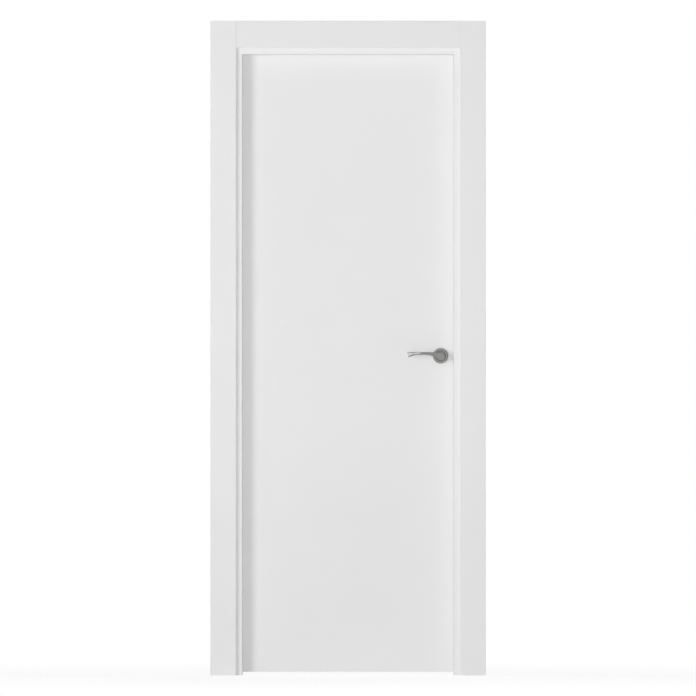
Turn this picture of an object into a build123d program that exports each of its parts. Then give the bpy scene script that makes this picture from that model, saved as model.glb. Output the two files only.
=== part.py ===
from build123d import *
import math
import os

# An interior door as fitted in a wall: a flush leaf in a rebated lining, with flat casings on
# both sides of the wall. X runs from the hinge side to the latch side. Y runs from the side with
# the stops to the side that the leaf opens to. The origin lies on the lining's outer face at the
# hinge side, at floor level, in the middle of the wall. All sizes are in millimetres.

# Leaf
leaf_width = 710
leaf_height = 2030
leaf_thickness = 35
skin_thickness = 3
stile_width = 40
rail_height = 60
closing_bevel = 1.5
lock_block_width = 80
lock_block_height = 300

# Gaps round the leaf
side_gap = 5
floor_gap = 10
stop_gap = 5

# Lining
wall_depth = 90
stop_overlap = 10
rebate_wall_thickness = 16
nose_radius = 4.5
arris_radius = 1.5

# Casings
upright_casing_width = 84
head_casing_width = 89
casing_thickness = 15
casing_cover = 10
casing_edge_radius = 1.5
tongue_thickness = 6
tongue_depth = 8
tongue_inset = 2

# Seal in the stop
seal_foot_width = 3
seal_foot_depth = 6
seal_bulb_radius = 2.6
seal_setback = 4.5
seal_squeeze_gap = 1

# Hinges
hinge_height = 100
hinge_top_margin = 200
hinge_bottom_margin = 250
knuckle_count = 5
knuckle_radius = 6
knuckle_gap = 0.2
knuckle_relief = 0.5
pin_radius = 3
pin_play = 0.05
pin_button_radius = 5
pin_button_height = 3.5
pin_button_rounding = 2.8
pin_offset = 6
plate_thickness = 2.5
plate_reach = 36

# Latch
handle_height = 1045
backset = 52
case_width = 16
case_depth = 72
case_height = 90
forend_width = 20
forend_length = 200
forend_thickness = 3
bolt_width = 12
bolt_height = 22
bolt_length = 36
bolt_nose = 9
bolt_slant_width = 8.4
bolt_play = 0.5
strike_width = 26
strike_length = 120
strike_thickness = 2
strike_hole_width = 16
strike_hole_height = 26
strike_pocket_depth = 11

# Handle set
spindle_size = 8
spindle_hole_radius = 8
follower_radius = 9
turning_play = 0.05
rosette_radius = 25
rosette_height = 9
rosette_edge_radius = 3
rosette_groove_radius = 17.4
rosette_groove_width = 2.2
rosette_groove_depth = 1.6
neck_radius = 9
neck_seat = 1
hub_start = 10
hub_front = 51
hub_radius = 14
hub_shift_side = 1.5
hub_shift_down = 2.7
hub_edge_radius = 3
socket_end = 34

# Lever sections: distance from the spindle towards the tip, top edge and bottom edge above the
# spindle, distance of the middle from the leaf, and thickness. The blade's end bends back to the leaf.
lever_sections = [
    (0, 10, -13, 43, 14),
    (13, 10.8, -7.6, 43.5, 13),
    (27, 11.5, -0.2, 44.5, 12),
    (45, 12.1, 3.4, 46.2, 10.6),
    (64, 12.4, 4.6, 46.5, 9),
    (84, 12.3, 2.2, 41.6, 7.8),
    (98, 12, -2.4, 38.1, 7),
    (112, 11.5, -7.2, 34.1, 6.4),
]
lever_length = 106.5
tip_slant = 16
tip_edge_radius = 0.6
facet_start_section = 4
facet_depth = 0.7
facet_tilt = 4

# Places that follow from the sizes above
half_depth = wall_depth / 2
stop_thickness = rebate_wall_thickness + side_gap + stop_overlap
lining_width = leaf_width + 2 * (side_gap + rebate_wall_thickness)
lining_top = floor_gap + leaf_height + side_gap + rebate_wall_thickness
middle_x = lining_width / 2
leaf_hinge_x = rebate_wall_thickness + side_gap
leaf_latch_x = leaf_hinge_x + leaf_width
leaf_top = floor_gap + leaf_height
leaf_back_y = half_depth
leaf_front_y = leaf_back_y - leaf_thickness
leaf_middle_y = leaf_back_y - leaf_thickness / 2
stop_y = leaf_front_y - stop_gap
seal_x = leaf_hinge_x + seal_setback
head_casing_z = lining_top - casing_cover
casing_top = head_casing_z + head_casing_width
pin_x = rebate_wall_thickness + side_gap / 2
pin_y = half_depth + pin_offset
handle_x = leaf_latch_x - backset
hinge_heights = {
    "top": leaf_top - hinge_top_margin,
    "middle": floor_gap + leaf_height / 2,
    "bottom": floor_gap + hinge_bottom_margin,
}
across_middle = Plane(origin=(middle_x, 0, 0), z_dir=(1, 0, 0))
through_wall = Plane(origin=(0, 0, 0), z_dir=(0, 1, 0))
through_leaf = Plane(origin=(0, leaf_middle_y, 0), z_dir=(0, 1, 0))


def block(x_range, y_range, z_range):
    size = [high - low for low, high in (x_range, y_range, z_range)]
    middle = [(low + high) / 2 for low, high in (x_range, y_range, z_range)]
    return Pos(*middle) * Box(*size)


def outline(points):
    return make_face(Polyline(*points, close=True))


def corner(face, x, y):
    return face.vertices().sort_by_distance((x, y, 0))[0]


# Planes whose own x runs from the lining's outer face into the doorway and whose own y is Y.
def lining_plane(side):
    if side == "head":
        return Plane(origin=(0, 0, lining_top), x_dir=(0, 0, -1), z_dir=(1, 0, 0))
    return Plane(origin=(0, 0, 0), x_dir=(1, 0, 0), z_dir=(0, 0, 1))


# Everything above the two 45 degree joints between the head and the uprights.
def mitre_wedge():
    drop = 2 * stop_thickness
    corners = [
        (0, lining_top),
        (lining_width, lining_top),
        (lining_width - drop, lining_top - drop),
        (drop, lining_top - drop),
    ]
    face = Plane.XZ * outline(corners)
    return extrude(face, amount=wall_depth, both=True)


# A length of lining or seal along one side, with its ends mitred.
def mitred_length(profile, side):
    plane = lining_plane(side)
    if side == "head":
        return extrude(plane * profile, amount=lining_width) & mitre_wedge()
    upright = extrude(plane * profile, amount=lining_top) - mitre_wedge()
    return upright if side == "hinge_side" else mirror(upright, about=across_middle)


def lining_profile():
    face = outline([
        (0, -half_depth),
        (stop_thickness, -half_depth),
        (stop_thickness, stop_y),
        (rebate_wall_thickness, stop_y),
        (rebate_wall_thickness, half_depth),
        (0, half_depth),
    ])
    face = fillet(corner(face, stop_thickness, -half_depth), nose_radius)
    face = fillet(corner(face, stop_thickness, stop_y), arris_radius)
    face = fillet(corner(face, rebate_wall_thickness, half_depth), arris_radius)
    tongue_x = casing_cover - tongue_inset - tongue_thickness / 2
    tongue = Rectangle(tongue_thickness, 2 * tongue_depth)
    foot = Rectangle(seal_foot_width, 2 * seal_foot_depth)
    return (
        face
        - Pos(tongue_x, -half_depth) * tongue
        - Pos(tongue_x, half_depth) * tongue
        - Pos(seal_x, stop_y) * foot
    )


def seal_profile():
    foot = Pos(seal_x, stop_y - seal_foot_depth / 2) * Rectangle(seal_foot_width, seal_foot_depth)
    bulb_y = leaf_front_y - seal_squeeze_gap - seal_bulb_radius
    bulb = Pos(seal_x, bulb_y) * Circle(seal_bulb_radius)
    above_stop = Pos(seal_x, stop_y + stop_gap / 2) * Rectangle(2 * stop_gap, stop_gap)
    return foot + (bulb & above_stop)


def jamb(side):
    piece = mitred_length(lining_profile(), side)
    if side == "hinge_side":
        for height in hinge_heights.values():
            piece -= hinge_pocket(rebate_wall_thickness - plate_thickness, height)
    if side == "latch_side":
        piece -= strike_blank() + strike_pocket()
    return piece


# Casing section: its own x runs from the inner edge outwards, its own y out of the wall.
def casing_profile(width):
    face = outline([(0, 0), (width, 0), (width, casing_thickness), (0, casing_thickness)])
    face = fillet(corner(face, 0, casing_thickness), casing_edge_radius)
    return fillet(corner(face, width, casing_thickness), casing_edge_radius)


def tongue_profile():
    middle = tongue_inset + tongue_thickness / 2
    return Pos(middle, -tongue_depth / 2) * Rectangle(tongue_thickness, tongue_depth)


def upright_casing():
    plane = Plane(origin=(casing_cover, -half_depth, 0), x_dir=(-1, 0, 0), z_dir=(0, 0, 1))
    board = extrude(plane * casing_profile(upright_casing_width), amount=casing_top)
    return board + extrude(plane * tongue_profile(), amount=head_casing_z)


def head_casing():
    origin = (casing_cover, -half_depth, head_casing_z)
    plane = Plane(origin=origin, x_dir=(0, 0, 1), z_dir=(1, 0, 0))
    profile = casing_profile(head_casing_width) + tongue_profile()
    return extrude(plane * profile, amount=lining_width - 2 * casing_cover)


# The leaf's outer form, with its closing edge bevelled towards the stops.
def leaf_envelope():
    corners = [
        (leaf_hinge_x, leaf_front_y),
        (leaf_latch_x - closing_bevel, leaf_front_y),
        (leaf_latch_x, leaf_back_y),
        (leaf_hinge_x, leaf_back_y),
    ]
    return Pos(0, 0, floor_gap) * extrude(outline(corners), amount=leaf_height)


def across_leaf(x_range, z_range):
    inner_y = (leaf_front_y + skin_thickness, leaf_back_y - skin_thickness)
    return block(x_range, inner_y, z_range)


def spindle_hole():
    axis = Plane(origin=(handle_x, leaf_middle_y, handle_height), z_dir=(0, -1, 0))
    return axis * Cylinder(spindle_hole_radius, 2 * leaf_thickness)


def leaf_frame():
    full = (floor_gap, leaf_top)
    left, right = leaf_hinge_x + stile_width, leaf_latch_x - stile_width
    rails = {
        "leaf_rail_top": across_leaf((left, right), (leaf_top - rail_height, leaf_top)),
        "leaf_rail_bottom": across_leaf((left, right), (floor_gap, floor_gap + rail_height)),
    }
    hinge_stile = across_leaf((leaf_hinge_x, left), full) - leaf_hinge_pockets()
    latch_stile = (across_leaf((right, leaf_latch_x), full) & leaf_envelope()) - latch_mortice()
    return {
        "leaf_stile_hinge_side": hinge_stile,
        "leaf_stile_latch_side": latch_stile,
        **rails,
    }


def lock_block_form():
    right = leaf_latch_x - stile_width
    half = lock_block_height / 2
    return across_leaf((right - lock_block_width, right), (handle_height - half, handle_height + half))


def leaf_core():
    left, right = leaf_hinge_x + stile_width, leaf_latch_x - stile_width
    filling = across_leaf((left, right), (floor_gap + rail_height, leaf_top - rail_height))
    return filling - lock_block_form()


def leaf_skins():
    full_x = (leaf_hinge_x, leaf_latch_x)
    full_z = (floor_gap, leaf_top)
    front = block(full_x, (leaf_front_y, leaf_front_y + skin_thickness), full_z)
    back = block(full_x, (leaf_back_y - skin_thickness, leaf_back_y), full_z)
    return {
        "leaf_face_front": (front & leaf_envelope()) - spindle_hole(),
        "leaf_face_back": (back & leaf_envelope()) - spindle_hole() - leaf_hinge_pockets(),
    }


def hinge_pocket(plate_x, height):
    y_range = (pin_y - plate_reach, leaf_back_y + pin_offset)
    z_range = (height - hinge_height / 2, height + hinge_height / 2)
    return block((plate_x, plate_x + plate_thickness), y_range, z_range)


def leaf_hinge_pockets():
    pockets = [hinge_pocket(leaf_hinge_x, height) for height in hinge_heights.values()]
    return pockets[0] + pockets[1] + pockets[2]


def hinge_rod(radius, length, z):
    return Pos(pin_x, pin_y, z) * Cylinder(radius, length)


# The knuckles alternate up the pin. The frame's plate carries the first, third and fifth.
def knuckle_heights(first):
    pitch = hinge_height / knuckle_count
    return [(index + 0.5) * pitch - hinge_height / 2 for index in range(first, knuckle_count, 2)]


def hinge_leaf(plate_x, height, own, other, bore):
    pitch = hinge_height / knuckle_count
    leaf = hinge_pocket(plate_x, height)
    for z in knuckle_heights(other):
        leaf -= hinge_rod(knuckle_radius + knuckle_relief, pitch, height + z)
    for z in knuckle_heights(own):
        leaf += hinge_rod(knuckle_radius, pitch - knuckle_gap, height + z)
    return leaf - hinge_rod(bore, 2 * hinge_height, height)


def hinge_pin(height):
    shank = hinge_rod(pin_radius, hinge_height, height)
    for end in (-1, 1):
        z = height + end * (hinge_height + pin_button_height) / 2
        button = hinge_rod(pin_button_radius, pin_button_height, z)
        rim = button.edges().filter_by(GeomType.CIRCLE).sort_by(Axis.Z)[0 if end < 0 else -1]
        shank += fillet(rim, pin_button_rounding)
    return shank


def hinges():
    pieces = {}
    for place, height in hinge_heights.items():
        frame_x = rebate_wall_thickness - plate_thickness
        pieces[f"hinge_{place}_frame_plate"] = hinge_leaf(frame_x, height, 0, 1, pin_radius)
        pieces[f"hinge_{place}_leaf_plate"] = hinge_leaf(leaf_hinge_x, height, 1, 0, pin_radius + pin_play)
        pieces[f"hinge_{place}_pin"] = hinge_pin(height)
    return pieces


def upright_slot(x_range, width, length):
    plane = Plane(origin=(x_range[0], leaf_middle_y, handle_height), x_dir=(0, 0, 1), z_dir=(1, 0, 0))
    return extrude(plane * SlotOverall(length, width), amount=x_range[1] - x_range[0])


# The forend lies flush in the closing edge and has the edge's slant.
def latch_forend():
    edge = leaf_envelope() - Pos(-forend_thickness, 0, 0) * leaf_envelope()
    return edge & upright_slot((leaf_latch_x - backset, leaf_latch_x), forend_width, forend_length)


def bolt_channel(play):
    x_range = (leaf_latch_x - bolt_length - play, leaf_latch_x)
    half_width, half_height = bolt_width / 2 + play, bolt_height / 2 + play
    return block(
        x_range,
        (leaf_middle_y - half_width, leaf_middle_y + half_width),
        (handle_height - half_height, handle_height + half_height),
    )


# The bolt is drawn in level with the forend. Its slanted side meets the strike first.
def latch_bolt():
    front = leaf_middle_y - bolt_width / 2
    slant = outline([
        (leaf_latch_x - bolt_nose, front),
        (leaf_latch_x, front),
        (leaf_latch_x, front + bolt_slant_width),
    ])
    cut = Pos(0, 0, handle_height - bolt_height) * extrude(slant, amount=2 * bolt_height)
    return (bolt_channel(0) & leaf_envelope()) - cut


def latch_case_form():
    right = leaf_latch_x - forend_thickness - closing_bevel
    return block(
        (right - case_depth, right),
        (leaf_middle_y - case_width / 2, leaf_middle_y + case_width / 2),
        (handle_height - case_height / 2, handle_height + case_height / 2),
    )


def latch_mortice():
    return latch_case_form() + bolt_channel(bolt_play) + latch_forend() + spindle_hole()


def follower(radius):
    axis = Plane(origin=(handle_x, leaf_middle_y, handle_height), z_dir=(0, -1, 0))
    return axis * Cylinder(radius, case_width)


def spindle_bar():
    length = leaf_thickness + 2 * socket_end
    axis = Plane(origin=(handle_x, leaf_middle_y, handle_height), z_dir=(0, -1, 0))
    return axis * Box(spindle_size, spindle_size, length)


def latch():
    case = latch_case_form() - bolt_channel(bolt_play) - follower(follower_radius + turning_play)
    return {
        "latch_case": case,
        "latch_forend": latch_forend() - bolt_channel(bolt_play),
        "latch_bolt": latch_bolt(),
        "leaf_lock_block": lock_block_form() - latch_mortice(),
    }


def strike_blank():
    wall_x = lining_width - rebate_wall_thickness
    plate = upright_slot((wall_x, wall_x + strike_thickness), strike_width, strike_length)
    return plate


def strike_pocket():
    wall_x = lining_width - rebate_wall_thickness
    return block(
        (wall_x, wall_x + strike_pocket_depth),
        (leaf_middle_y - strike_hole_width / 2, leaf_middle_y + strike_hole_width / 2),
        (handle_height - strike_hole_height / 2, handle_height + strike_hole_height / 2),
    )


# Rosettes and levers are built with their own z running out of the leaf and their own x away
# from the lever's tip, with the spindle's axis through the leaf's front as origin.
def handle_plane():
    return Plane(origin=(handle_x, leaf_front_y, handle_height), x_dir=(1, 0, 0), z_dir=(0, -1, 0))


def rosette():
    plate = Pos(0, 0, rosette_height / 2) * Cylinder(rosette_radius, rosette_height)
    rim = plate.edges().filter_by(GeomType.CIRCLE).sort_by(Axis.Z)[-1]
    plate = fillet(rim, rosette_edge_radius)
    outer = Cylinder(rosette_groove_radius + rosette_groove_width / 2, 2 * rosette_groove_depth)
    inner = Cylinder(rosette_groove_radius - rosette_groove_width / 2, 2 * rosette_groove_depth)
    groove = Pos(0, 0, rosette_height) * (outer - inner)
    bore = Cylinder(neck_radius + turning_play, 4 * rosette_height)
    return plate - groove - bore


def lever_neck():
    neck = Pos(0, 0, (neck_seat + hub_start) / 2) * Cylinder(neck_radius, hub_start - neck_seat)
    foot = Pos(0, 0, hub_start) * Circle(neck_radius)
    front = Pos(hub_shift_side, -hub_shift_down, hub_front) * Circle(hub_radius)
    hub = loft([foot, front])
    rim = hub.edges().filter_by(GeomType.CIRCLE).sort_by(Axis.Z)[-1]
    return neck + fillet(rim, hub_edge_radius)


def lever_section(reach, top, bottom, out, thickness):
    plane = Plane(origin=(-reach, (top + bottom) / 2, out), x_dir=(0, 1, 0), z_dir=(-1, 0, 0))
    return plane * Ellipse((top - bottom) / 2, thickness / 2)


# The arm runs on past the tip and is cut off there at a slant.
def lever_arm():
    arm = loft([lever_section(*section) for section in lever_sections])
    lean = math.radians(tip_slant)
    end = Plane(origin=(-lever_length, 0, 0), z_dir=(math.cos(lean), math.sin(lean), 0))
    arm = split(arm, bisect_by=end, keep=Keep.TOP)
    tip = arm.faces().sort_by(Axis.X)[0]
    return fillet(tip.edges(), tip_edge_radius)


def section_front(section):
    reach, top, bottom, out, thickness = section
    return Vector(-reach, (top + bottom) / 2, out + thickness / 2)


# Everything in front of the flat facet, which widens along the blade's front between its two rims
# and faces a little upwards.
def facet_cut():
    start = section_front(lever_sections[facet_start_section])
    end = section_front(lever_sections[-1]) - Vector(0, 0, facet_depth)
    along = (start - end).normalized()
    facing = along.cross(Vector(0, 1, 0)) + Vector(0, math.tan(math.radians(facet_tilt)), 0)
    on_facet = (Align.CENTER, Align.CENTER, Align.MIN)
    slab = Box((start - end).length * 3, 2 * lever_length, hub_front, align=on_facet)
    return Plane(origin=start, x_dir=along, z_dir=facing) * slab


def lever():
    socket = Pos(0, 0, socket_end / 2) * Box(spindle_size, spindle_size, socket_end)
    return lever_neck() + lever_arm() - facet_cut() - socket


def handle_set():
    front_rosette = handle_plane().location * rosette()
    front_lever = handle_plane().location * lever()
    return {
        "rosette_front": front_rosette,
        "rosette_back": mirror(front_rosette, about=through_leaf),
        "lever_front": front_lever,
        "lever_back": mirror(front_lever, about=through_leaf),
        "latch_follower": follower(follower_radius) - spindle_bar(),
        "spindle": spindle_bar(),
    }


def lining():
    sides = ("hinge_side", "latch_side", "head")
    jambs = {f"jamb_{side}": jamb(side) for side in sides}
    seals = {f"seal_{side}": mitred_length(seal_profile(), side) for side in sides}
    return {**jambs, **seals, "strike_plate": strike_blank() - strike_pocket()}


def casings():
    front = {
        "hinge_side": upright_casing(),
        "latch_side": mirror(upright_casing(), about=across_middle),
        "head": head_casing(),
    }
    pieces = {}
    for side, piece in front.items():
        pieces[f"casing_front_{side}"] = piece
        pieces[f"casing_back_{side}"] = mirror(piece, about=through_wall)
    return pieces


def leaf():
    return {**leaf_skins(), **leaf_frame(), "leaf_core": leaf_core()}


def main():
    os.makedirs("parts", exist_ok=True)
    nodes = {**lining(), **casings(), **leaf(), **hinges(), **latch(), **handle_set()}
    for name, piece in nodes.items():
        export_step(piece.solid(), f"parts/{name}.step")


main()
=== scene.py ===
import bpy
import math
from mathutils import Matrix, Vector


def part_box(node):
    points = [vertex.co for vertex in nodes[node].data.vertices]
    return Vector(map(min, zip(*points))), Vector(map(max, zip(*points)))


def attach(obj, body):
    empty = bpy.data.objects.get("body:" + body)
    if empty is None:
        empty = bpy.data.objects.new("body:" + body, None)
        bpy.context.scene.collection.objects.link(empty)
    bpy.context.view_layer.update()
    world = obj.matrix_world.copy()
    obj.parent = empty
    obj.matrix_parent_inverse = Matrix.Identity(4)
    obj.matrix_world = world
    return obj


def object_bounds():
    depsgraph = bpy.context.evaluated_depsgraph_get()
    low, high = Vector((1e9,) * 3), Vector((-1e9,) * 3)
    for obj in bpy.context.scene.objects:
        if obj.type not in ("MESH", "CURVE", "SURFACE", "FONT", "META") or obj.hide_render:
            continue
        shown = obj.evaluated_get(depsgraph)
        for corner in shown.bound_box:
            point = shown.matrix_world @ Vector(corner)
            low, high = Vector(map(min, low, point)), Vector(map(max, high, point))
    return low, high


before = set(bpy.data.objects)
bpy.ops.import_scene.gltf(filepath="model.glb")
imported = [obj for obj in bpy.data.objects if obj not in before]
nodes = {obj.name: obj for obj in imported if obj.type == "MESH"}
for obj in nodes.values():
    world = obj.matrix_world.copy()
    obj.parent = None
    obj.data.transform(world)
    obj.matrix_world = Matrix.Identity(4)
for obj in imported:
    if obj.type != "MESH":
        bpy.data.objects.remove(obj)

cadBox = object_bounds()
mm = 0.001
doorMiddle = (cadBox[0][0] + cadBox[1][0]) / 2


# materials

def newMaterial(name):
    mat = bpy.data.materials.new(name)
    mat.use_nodes = True
    tree = mat.node_tree
    return mat, tree, tree.nodes["Principled BSDF"]


def addNode(tree, kind, inputs=None, **settings):
    node = tree.nodes.new(kind)
    for key, value in settings.items():
        setattr(node, key, value)
    for key, value in (inputs or {}).items():
        if isinstance(value, bpy.types.NodeSocket):
            tree.links.new(value, node.inputs[key])
        else:
            node.inputs[key].default_value = value
    return node


def objectCoords(tree, scale=(1, 1, 1)):
    coords = addNode(tree, "ShaderNodeTexCoord")
    mapping = addNode(tree, "ShaderNodeMapping", {"Vector": coords.outputs["Object"], "Scale": scale})
    return mapping.outputs["Vector"]


def noise(tree, vector, scale, detail=3.0, roughness=0.5):
    node = addNode(tree, "ShaderNodeTexNoise", {
        "Vector": vector, "Scale": scale, "Detail": detail, "Roughness": roughness})
    return node.outputs["Fac"]


def remap(tree, value, low, high, fromLow=0.3, fromHigh=0.7):
    node = addNode(tree, "ShaderNodeMapRange", {
        "Value": value, "From Min": fromLow, "From Max": fromHigh, "To Min": low, "To Max": high})
    return node.outputs["Result"]


def mixColour(tree, factor, first, second):
    node = addNode(tree, "ShaderNodeMix", data_type="RGBA")
    for socket, value in ((0, factor), (6, first), (7, second)):
        if isinstance(value, bpy.types.NodeSocket):
            tree.links.new(value, node.inputs[socket])
        else:
            node.inputs[socket].default_value = value
    return node.outputs[2]


def grey(value, warm=0.0):
    return (value + warm, value, value - warm, 1)


def bump(tree, height, strength, distance, normal=None):
    inputs = {"Height": height, "Strength": strength, "Distance": distance}
    if normal:
        inputs["Normal"] = normal
    return addNode(tree, "ShaderNodeBump", inputs).outputs["Normal"]


lacquer = {
    "tone": 0.795,          # linear white of the sprayed lacquer
    "toneShift": 0.012,     # slow cloudiness of the coat
    "cloudSize": 3.1,
    "roughness": (0.36, 0.46),
    "roughSize": 95,
    "peelSize": 620,        # orange peel cells per metre
    "peelDepth": 0.00004,
    "rollSize": 26,         # slow unevenness of the board
    "rollDepth": 0.00012,
    "gloss": 0.4,
}
bareBoard = {
    "margin": 0.0002,       # how far past the wall's plane a board still counts as bare
    "dark": (0.34, 0.235, 0.15, 1),
    "light": (0.47, 0.34, 0.225, 1),
    "fibreSize": 900,
    "fibreStretch": (1, 1, 0.35),
}


def lacquerLook(name, rawBoard=None):
    mat, tree, shader = newMaterial(name)
    vector = objectCoords(tree)
    cloud = noise(tree, vector, lacquer["cloudSize"], detail=2)
    high = grey(lacquer["tone"] + lacquer["toneShift"] / 2)
    low = grey(lacquer["tone"] - lacquer["toneShift"] / 2)
    colour = mixColour(tree, remap(tree, cloud, 0, 1), low, high)
    streaks = noise(tree, vector, lacquer["roughSize"], detail=4, roughness=0.6)
    rough = remap(tree, streaks, *lacquer["roughness"])
    roll = bump(tree, noise(tree, vector, lacquer["rollSize"], detail=1), 1, lacquer["rollDepth"])
    peel = bump(tree, noise(tree, vector, lacquer["peelSize"], detail=2), 1, lacquer["peelDepth"], roll)
    tree.links.new(peel, shader.inputs["Normal"])
    if rawBoard:
        bare = rawBoard(tree)
        stretched = objectCoords(tree, bareBoard["fibreStretch"])
        fibre = noise(tree, stretched, bareBoard["fibreSize"], detail=5, roughness=0.7)
        board = mixColour(tree, remap(tree, fibre, 0, 1), bareBoard["dark"], bareBoard["light"])
        colour = mixColour(tree, bare, colour, board)
        rough = addNode(tree, "ShaderNodeMath", {0: rough, 1: bare}, operation="MAXIMUM").outputs[0]
    tree.links.new(colour, shader.inputs["Base Color"])
    tree.links.new(rough, shader.inputs["Roughness"])
    shader.inputs["Specular IOR Level"].default_value = lacquer["gloss"]
    return mat


def separate(tree):
    coords = addNode(tree, "ShaderNodeTexCoord")
    return addNode(tree, "ShaderNodeSeparateXYZ", {0: coords.outputs["Object"]}).outputs


def compare(tree, value, limit, operation="GREATER_THAN"):
    return addNode(tree, "ShaderNodeMath", {0: value, 1: limit}, operation=operation).outputs[0]


liningLow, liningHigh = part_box("jamb_head")


# the casings' backs and tongues are bare board: everything between the two wall planes
def casingBack(tree):
    depth = separate(tree)[1]
    away = addNode(tree, "ShaderNodeMath", {0: depth}, operation="ABSOLUTE").outputs[0]
    return compare(tree, away, liningHigh[1] + bareBoard["margin"], "LESS_THAN")


# the lining's outer faces are bare board where they meet the wall
def liningBack(tree):
    x, y, z = separate(tree)
    left = compare(tree, x, liningLow[0] + bareBoard["margin"], "LESS_THAN")
    right = compare(tree, x, liningHigh[0] - bareBoard["margin"])
    top = compare(tree, z, liningHigh[2] - bareBoard["margin"])
    sides = addNode(tree, "ShaderNodeMath", {0: left, 1: right}, operation="MAXIMUM").outputs[0]
    return addNode(tree, "ShaderNodeMath", {0: sides, 1: top}, operation="MAXIMUM").outputs[0]


satinMetal = {
    "tone": 0.27,
    "toneShift": 0.05,      # share of the tone that the clouds take or add
    "warmth": 0.004,
    "cloudSize": 60,
    "roughness": (0.24, 0.36),
    "scratchSize": 2400,
    "scratchDepth": 0.00001,
    "scratchStrength": 0.6,
}


def satinLook(name, grain=(1, 1, 1), tone=None, roughness=None):
    tone = tone or satinMetal["tone"]
    mat, tree, shader = newMaterial(name)
    vector = objectCoords(tree, grain)
    lines = noise(tree, vector, satinMetal["scratchSize"], detail=4, roughness=0.65)
    clouds = noise(tree, objectCoords(tree), satinMetal["cloudSize"])
    shift, warmth = satinMetal["toneShift"], satinMetal["warmth"]
    low, high = grey(tone * (1 - shift), warmth), grey(tone * (1 + shift), warmth)
    rough = remap(tree, lines, *(roughness or satinMetal["roughness"]))
    scratches = bump(tree, lines, satinMetal["scratchStrength"], satinMetal["scratchDepth"])
    tree.links.new(mixColour(tree, remap(tree, clouds, 0, 1), low, high), shader.inputs["Base Color"])
    tree.links.new(rough, shader.inputs["Roughness"])
    tree.links.new(scratches, shader.inputs["Normal"])
    shader.inputs["Metallic"].default_value = 1
    return mat


paintedShadeDisc = {
    "tone": 0.34,
    # share of the tone at each distance in millimetres from the spindle's axis; the low shares paint shade
    # under the hub and in the groove, and paint a dark reflection on the rolled rim
    "paintedShadeRings": (
        (0, 0.7), (15.9, 0.7), (16.5, 0.45), (18.3, 0.45), (18.8, 1), (22, 1), (23.5, 0.7), (25, 0.5)),
}


# a turned disc with painted shade under the hub and in its groove, and a painted dark reflection on its
# rolled rim; its flat ring keeps the full tone
def paintedShadeLook(name, centre):
    mat = satinLook(name, (1, 1, 1), paintedShadeDisc["tone"])
    tree = mat.node_tree
    shader = tree.nodes["Principled BSDF"]
    x, y, z = separate(tree)
    flat = addNode(tree, "ShaderNodeCombineXYZ", {"X": x, "Z": z}).outputs[0]
    away = addNode(tree, "ShaderNodeVectorMath", {0: flat, 1: (centre.x, 0, centre.z)},
                   operation="DISTANCE").outputs["Value"]
    reach = paintedShadeDisc["paintedShadeRings"][-1][0]
    ramp = addNode(tree, "ShaderNodeValToRGB", {"Fac": remap(tree, away, 0, 1, 0, reach * mm)})
    points = ramp.color_ramp.elements
    for index, (radius, share) in enumerate(paintedShadeDisc["paintedShadeRings"]):
        point = points[index] if index < 2 else points.new(radius / reach)
        point.position = radius / reach
        point.color = grey(share)
    # the painted shade and the painted rim reflection darken the metal's own colour
    metal = shader.inputs["Base Color"].links[0].from_socket
    shadedMetal = addNode(tree, "ShaderNodeMix", {0: 1.0, 6: metal, 7: ramp.outputs["Color"]},
                     data_type="RGBA", blend_type="MULTIPLY").outputs[2]
    tree.links.new(shadedMetal, shader.inputs["Base Color"])
    return mat


softSeal = {
    "colours": (grey(0.68), grey(0.74)),
    "stretch": (1, 1, 1),
    "size": 1500,
    "detail": 3,
    "grit": 0.5,
    "roughness": (0.55, 0.7),
    "strength": 0.5,
    "depth": 0.00003,
}
coreWood = {
    "colours": ((0.42, 0.27, 0.13, 1), (0.62, 0.44, 0.25, 1)),
    "stretch": (1, 1, 0.06),
    "size": 120,
    "detail": 6,
    "grit": 0.6,
    "roughness": (0.55, 0.75),
    "strength": 0.4,
    "depth": 0.0001,
}


# one noise drives the colour, the roughness and the relief
def grainLook(name, setting):
    mat, tree, shader = newMaterial(name)
    vector = objectCoords(tree, setting["stretch"])
    grain = noise(tree, vector, setting["size"], setting["detail"], setting["grit"])
    relief = bump(tree, grain, setting["strength"], setting["depth"])
    colour = mixColour(tree, remap(tree, grain, 0, 1), *setting["colours"])
    tree.links.new(colour, shader.inputs["Base Color"])
    tree.links.new(remap(tree, grain, *setting["roughness"]), shader.inputs["Roughness"])
    tree.links.new(relief, shader.inputs["Normal"])
    return mat


leafLacquer = lacquerLook("leafLacquer")
casingLacquer = lacquerLook("casingLacquer", casingBack)
liningLacquer = lacquerLook("liningLacquer", liningBack)
upright, alongLever = (1, 1, 0.04), (0.05, 1, 1)       # the way that the brushing runs
hingeMetal = satinLook("hingeMetal", upright)
latchMetal = satinLook("latchMetal", upright)
handleMetal = satinLook("handleMetal", alongLever)
spindleLow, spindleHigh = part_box("spindle")
handleAxis = Vector(spindleLow).lerp(Vector(spindleHigh), 0.5)
# the rosette's colour carries painted shade in its groove and a painted dark reflection on its rim
rosettePaintedShadeMetal = paintedShadeLook("rosettePaintedShadeMetal", handleAxis)
caseSteel = satinLook("caseSteel", tone=0.5, roughness=(0.4, 0.55))
screwMetal = satinLook("screwMetal", tone=0.42, roughness=(0.22, 0.34))
sealRubber = grainLook("sealRubber", softSeal)
rawWood = grainLook("rawWood", coreWood)


print("materials ready")


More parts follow.
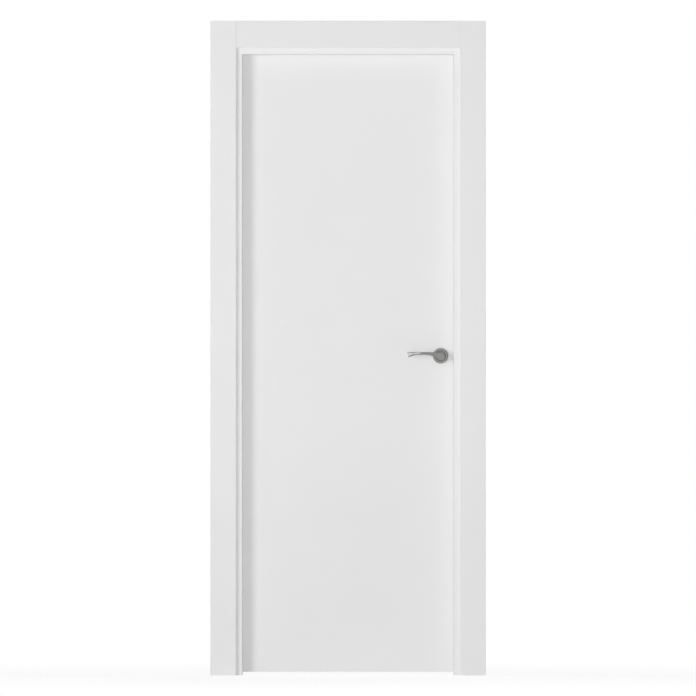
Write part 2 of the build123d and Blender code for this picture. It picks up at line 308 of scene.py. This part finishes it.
def materialFor(name):
    if name.startswith("casing"):
        return casingLacquer
    if name.startswith("jamb"):
        return liningLacquer
    if name.startswith("seal"):
        return sealRubber
    if name in ("leaf_core", "leaf_lock_block"):
        return rawWood
    if name.startswith("leaf"):
        return leafLacquer
    if name.startswith("hinge"):
        return hingeMetal
    if name in ("latch_forend", "latch_bolt", "strike_plate"):
        return latchMetal
    if name in ("latch_case", "latch_follower", "spindle"):
        return caseSteel
    return rosettePaintedShadeMetal if name.startswith("rosette") else handleMetal


edgeRounding = {
    "widths": {"casing": 0.4, "jamb": 0.4, "hinge": 0.25, "latch": 0.25, "strike": 0.25},
    "fromAngle": 40,
    "creaseAngle": 24,      # between two faces, from which their edge stays crisp
    "weld": 0.00001,
}


# the triangles of a CAD node are loose, so the two sides of an edge are found by their corners' places
def markCreases(obj):
    mesh = obj.data
    places = [tuple(round(part, 6) for part in vertex.co) for vertex in mesh.vertices]
    edgeNumber = {tuple(sorted(edge.vertices)): edge.index for edge in mesh.edges}
    sides = {}
    for face in mesh.polygons:
        for ends in face.edge_keys:
            corners = frozenset(places[end] for end in ends)
            sides.setdefault(corners, []).append((edgeNumber[tuple(sorted(ends))], face.normal.copy()))
    crease = math.radians(edgeRounding["creaseAngle"])
    for found in sides.values():
        turned = len(found) > 1 and found[0][1].angle(found[1][1], 0) > crease
        for number, normal in found:
            mesh.edges[number].use_edge_sharp = turned


def finishNode(name, obj):
    obj.data.materials.clear()
    obj.data.materials.append(materialFor(name))
    markCreases(obj)
    weld = obj.modifiers.new("weld", "WELD")
    weld.merge_threshold = edgeRounding["weld"]
    width = edgeRounding["widths"].get(name.split("_")[0])
    if width:
        rounding = obj.modifiers.new("rounding", "BEVEL")
        rounding.width = width * mm
        rounding.segments = 2
        rounding.limit_method = "ANGLE"
        rounding.angle_limit = math.radians(edgeRounding["fromAngle"])
    for face in obj.data.polygons:
        face.use_smooth = True
    normals = obj.modifiers.new("normals", "WEIGHTED_NORMAL")
    normals.keep_sharp = True


for name, obj in nodes.items():
    finishNode(name, obj)
print("CAD nodes finished:", len(nodes))


# screws, modelled once each and copied to their places

def selectFaces(obj, wanted):
    bpy.ops.object.mode_set(mode="EDIT")
    bpy.ops.mesh.select_mode(type="FACE")
    bpy.ops.mesh.select_all(action="DESELECT")
    bpy.ops.object.mode_set(mode="OBJECT")
    for face in obj.data.polygons:
        face.select = wanted(face)
    bpy.ops.object.mode_set(mode="EDIT")


def facingUp(face):
    return face.normal.z > 0.9


def facingDown(face):
    return face.normal.z < -0.9


def cutAway(obj, cutter):
    cut = obj.modifiers.new("cut", "BOOLEAN")
    cut.operation = "DIFFERENCE"
    cut.solver = "EXACT"
    cut.object = cutter
    bpy.context.view_layer.objects.active = obj
    bpy.ops.object.modifier_apply(modifier="cut")
    bpy.data.objects.remove(cutter)


# sizes in millimetres
crossScrew = {
    "headRadius": 3.9,
    "headDepth": 1.6,
    "proud": 0.12,          # rim above the plate
    "crown": 0.22,          # middle above the rim
    "arm": 4.6,             # length of the cross
    "armWidth": 1.05,
    "crossDepth": 1.3,
    "taper": 0.45,          # width of the cross at its bottom, as a share
    "insets": (0.08, 0.3, 0.3),     # shares of the radius
}
grubScrew = {
    "radius": 2.4,
    "depth": 1.4,
    "proud": 0.1,
    "rim": 0.12,            # share of the radius
    "crown": 0.15,
    "socket": 1.25,
    "socketDepth": 1.1,
}


# lies at the origin with its head facing +Z
def modelCrossScrew(setting):
    bpy.ops.object.select_all(action="DESELECT")
    bpy.ops.mesh.primitive_cylinder_add(
        vertices=40, radius=setting["headRadius"] * mm, depth=setting["headDepth"] * mm,
        location=(0, 0, (setting["proud"] - setting["headDepth"] / 2) * mm))
    screw = bpy.context.object
    bpy.ops.object.transform_apply(location=True, rotation=True, scale=True)
    selectFaces(screw, facingUp)
    for share in setting["insets"]:
        bpy.ops.mesh.inset(thickness=setting["headRadius"] * share * mm)
        bpy.ops.transform.translate(value=(0, 0, setting["crown"] / len(setting["insets"]) * mm))
    bpy.ops.object.mode_set(mode="OBJECT")
    for size in ((setting["arm"], setting["armWidth"]), (setting["armWidth"], setting["arm"])):
        bpy.ops.object.select_all(action="DESELECT")
        bpy.ops.mesh.primitive_cube_add(size=1, location=(0, 0, setting["proud"] * mm))
        cutter = bpy.context.object
        cutter.scale = (size[0] * mm, size[1] * mm, 2 * setting["crossDepth"] * mm)
        bpy.ops.object.transform_apply(location=True, rotation=True, scale=True)
        selectFaces(cutter, facingDown)
        bpy.ops.transform.resize(value=(setting["taper"], setting["taper"], 1))
        bpy.ops.object.mode_set(mode="OBJECT")
        cutAway(screw, cutter)
    return screw


def modelGrubScrew(setting):
    bpy.ops.object.select_all(action="DESELECT")
    bpy.ops.mesh.primitive_cylinder_add(
        vertices=32, radius=setting["radius"] * mm, depth=setting["depth"] * mm,
        location=(0, 0, (setting["proud"] - setting["depth"] / 2) * mm))
    screw = bpy.context.object
    bpy.ops.object.transform_apply(location=True, rotation=True, scale=True)
    selectFaces(screw, facingUp)
    bpy.ops.mesh.inset(thickness=setting["radius"] * setting["rim"] * mm)
    bpy.ops.transform.translate(value=(0, 0, setting["crown"] * mm))
    bpy.ops.object.mode_set(mode="OBJECT")
    bpy.ops.object.select_all(action="DESELECT")
    bpy.ops.mesh.primitive_cylinder_add(
        vertices=6, radius=setting["socket"] * mm, depth=2 * setting["socketDepth"] * mm,
        location=(0, 0, 0))
    cutter = bpy.context.object
    cutAway(screw, cutter)
    return screw


screwTurns = {"first": 17, "each": 37}      # degrees, so that no two crosses stand alike


# one object holds the screws of one plate: each place is a point and the way that the head faces
def placeScrews(master, name, places, body):
    copies = []
    for index, (point, facing) in enumerate(places):
        piece = master.copy()
        piece.data = master.data.copy()
        bpy.context.collection.objects.link(piece)
        turn = Vector(facing).to_track_quat("Z", "Y").to_matrix().to_4x4()
        spin = Matrix.Rotation(math.radians(screwTurns["first"] + index * screwTurns["each"]), 4, "Z")
        piece.data.transform(Matrix.Translation(point) @ turn @ spin)
        copies.append(piece)
    bpy.ops.object.select_all(action="DESELECT")
    for piece in copies:
        piece.select_set(True)
    bpy.context.view_layer.objects.active = copies[0]
    if len(copies) > 1:
        bpy.ops.object.join()
    joined = bpy.context.object
    joined.name = name
    joined.data.materials.clear()
    joined.data.materials.append(screwMetal)
    bpy.ops.object.shade_smooth_by_angle(angle=math.radians(30))
    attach(joined, body)


# height from the hinge's middle and distance from the plate's far edge
hingeScrews = {"rows": ((-38, 8), (-14, 18), (14, 18), (38, 8))}


def addHingeScrews(master):
    for place in ("top", "middle", "bottom"):
        pinLow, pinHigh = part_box(f"hinge_{place}_pin")
        pin = Vector(pinLow).lerp(Vector(pinHigh), 0.5)
        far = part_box(f"hinge_{place}_leaf_plate")[0][1]
        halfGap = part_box("leaf_face_front")[0][0] - pin.x
        for body, side in (("frame", -1), ("leaf", 1)):
            places = [
                ((pin.x + side * halfGap, far + across * mm, pin.z + up * mm), (-side, 0, 0))
                for up, across in hingeScrews["rows"]]
            placeScrews(master, f"screws_hinge_{place}_{body}", places, body)


edgeScrews = {"strikeReach": 47, "forendReach": 86}


def addEdgeScrews(master):
    strikeLow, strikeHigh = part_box("strike_plate")
    middle = Vector(strikeLow).lerp(Vector(strikeHigh), 0.5)
    heights = [middle.z + end * edgeScrews["strikeReach"] * mm for end in (-1, 1)]
    places = [((strikeLow[0], middle.y, height), (-1, 0, 0)) for height in heights]
    placeScrews(master, "screws_strike_plate", places, "frame")
    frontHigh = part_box("leaf_face_front")[1]
    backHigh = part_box("leaf_face_back")[1]
    slant = (backHigh[0] - frontHigh[0]) / (backHigh[1] - frontHigh[1])
    x = backHigh[0] - slant * (backHigh[1] - middle.y)
    heights = [middle.z + end * edgeScrews["forendReach"] * mm for end in (-1, 1)]
    places = [((x, middle.y, height), (1, -slant, 0)) for height in heights]
    placeScrews(master, "screws_forend", places, "leaf")


grubPlace = {"out": 14, "below": 9.85, "lean": 0.1}     # distances from the leaf and the spindle's axis


def addGrubScrews(master):
    front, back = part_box("leaf_face_front")[0][1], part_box("leaf_face_back")[1][1]
    height = handleAxis.z - grubPlace["below"] * mm
    for part, face, side in (("front", front, -1), ("back", back, 1)):
        point = (handleAxis.x, face + side * grubPlace["out"] * mm, height)
        placeScrews(master, f"grub_screw_{part}", [(point, (0, side * grubPlace["lean"], -1))], "handle")


crossMaster = modelCrossScrew(crossScrew)
grubMaster = modelGrubScrew(grubScrew)
addHingeScrews(crossMaster)
addEdgeScrews(crossMaster)
addGrubScrews(grubMaster)
for master in (crossMaster, grubMaster):
    bpy.data.objects.remove(master)
print("screws added")


# room, light and camera

def pictureRay(tree):
    path = addNode(tree, "ShaderNodeLightPath").outputs
    seen = addNode(tree, "ShaderNodeMath", {
        0: path["Is Camera Ray"], 1: path["Is Glossy Ray"]}, operation="MAXIMUM").outputs[0]
    return addNode(tree, "ShaderNodeMath", {
        0: seen, 1: path["Is Transmission Ray"]}, operation="MAXIMUM").outputs[0]


floor = {
    "size": 40,
    "drop": 0.0005,         # below the door's feet
    "tone": 0.8,
    "speckle": 0.02,
    "nearGlow": 0.72,       # share of plain white close to the door, where its shadow falls
    "nearStrength": 1.17,
    "nearRadius": 0.9,
    "farRadius": 3.2,       # all white from here on
}


def makeFloor():
    bpy.ops.object.select_all(action="DESELECT")
    bpy.ops.mesh.primitive_plane_add(size=floor["size"], location=(doorMiddle, 0, -floor["drop"]))
    plane = bpy.context.object
    plane.name = "studioFloor"
    bpy.ops.object.transform_apply(location=True, rotation=True, scale=True)
    mat, tree, shader = newMaterial("floorPaint")
    speckle = noise(tree, objectCoords(tree), 40)
    paint = mixColour(tree, speckle, grey(floor["tone"]), grey(floor["tone"] + floor["speckle"]))
    tree.links.new(paint, shader.inputs["Base Color"])
    shader.inputs["Roughness"].default_value = 0.9
    shader.inputs["Specular IOR Level"].default_value = 0.1
    away = addNode(tree, "ShaderNodeVectorMath", {0: objectCoords(tree), 1: (doorMiddle, 0, 0)},
                   operation="DISTANCE").outputs["Value"]
    far = remap(tree, away, 0, 1, floor["nearRadius"], floor["farRadius"])
    share = remap(tree, far, floor["nearGlow"], 1, 0, 1)
    strength = remap(tree, far, floor["nearStrength"], 1, 0, 1)
    glow = addNode(tree, "ShaderNodeEmission", {"Color": (1, 1, 1, 1), "Strength": strength})
    part = addNode(tree, "ShaderNodeMath", {0: pictureRay(tree), 1: share}, operation="MULTIPLY")
    lit = addNode(tree, "ShaderNodeMixShader", {0: part.outputs[0], 1: shader.outputs[0], 2: glow.outputs[0]})
    tree.links.new(lit.outputs[0], tree.nodes["Material Output"].inputs["Surface"])
    plane.data.materials.append(mat)


sky = {"fill": 0.18}        # light that comes from all round; the picture itself shows plain white


def makeSky():
    world = bpy.data.worlds.new("studioSky")
    bpy.context.scene.world = world
    world.use_nodes = True
    tree = world.node_tree
    back = tree.nodes["Background"]
    back.inputs["Color"].default_value = (1, 1, 1, 1)
    tree.links.new(remap(tree, pictureRay(tree), sky["fill"], 1, 0, 1), back.inputs["Strength"])


# angle is measured from the door's normal, positive to the hinge side; an unmirrored lamp lights the
# door but doesn't show in metal, and the glint lamp is what the levers show of the key lamp
lamps = {
    "keyLamp": {
        "angle": 37.5, "distance": 9, "rise": 1.25, "size": (2.9, 3.3), "power": 232, "mirrored": False},
    "glintLamp": {
        "angle": 32.3, "distance": 8.8, "rise": 2.26, "size": (2.9, 3.3), "power": 70, "mirrored": True},
    "frontLamp": {
        "angle": -2, "distance": 6, "rise": 1.2, "size": (0.6, 0.8), "power": 142, "mirrored": False},
    "backLamp": {
        "angle": 192, "distance": 6, "rise": 1.6, "size": (3.2, 4.5), "power": 260, "mirrored": False},
}


def makeLamp(name, setting):
    turn = math.radians(setting["angle"])
    target = Vector((doorMiddle, 0, setting["rise"]))
    spot = target + Vector((-math.sin(turn), -math.cos(turn), 0)) * setting["distance"]
    bpy.ops.object.light_add(type="AREA", location=spot)
    lamp = bpy.context.object
    lamp.name = name
    lamp.data.shape = "RECTANGLE"
    lamp.data.size, lamp.data.size_y = setting["size"]
    lamp.data.energy = setting["power"]
    lamp.rotation_euler = (target - spot).to_track_quat("-Z", "Y").to_euler()
    lamp.visible_camera = False
    lamp.visible_glossy = setting["mirrored"]


# far away and with a long lens, because no edge of the door runs together in the picture
camera = {"distance": 50, "height": 1.0704, "frameWidth": 2.2755, "sensor": 36, "reach": 120}


def makeCamera():
    place = (doorMiddle, cadBox[0][1] - camera["distance"], camera["height"])
    bpy.ops.object.camera_add(location=place, rotation=(math.radians(90), 0, 0))
    cam = bpy.context.object
    cam.name = "photoCamera"
    cam.data.sensor_width = camera["sensor"]
    cam.data.lens = camera["sensor"] * camera["distance"] / camera["frameWidth"]
    cam.data.clip_end = camera["reach"]
    bpy.context.scene.camera = cam


makeFloor()
makeSky()
for name, setting in lamps.items():
    makeLamp(name, setting)
makeCamera()
bpy.context.scene.view_settings.view_transform = "Standard"
print("floor, light and camera set")
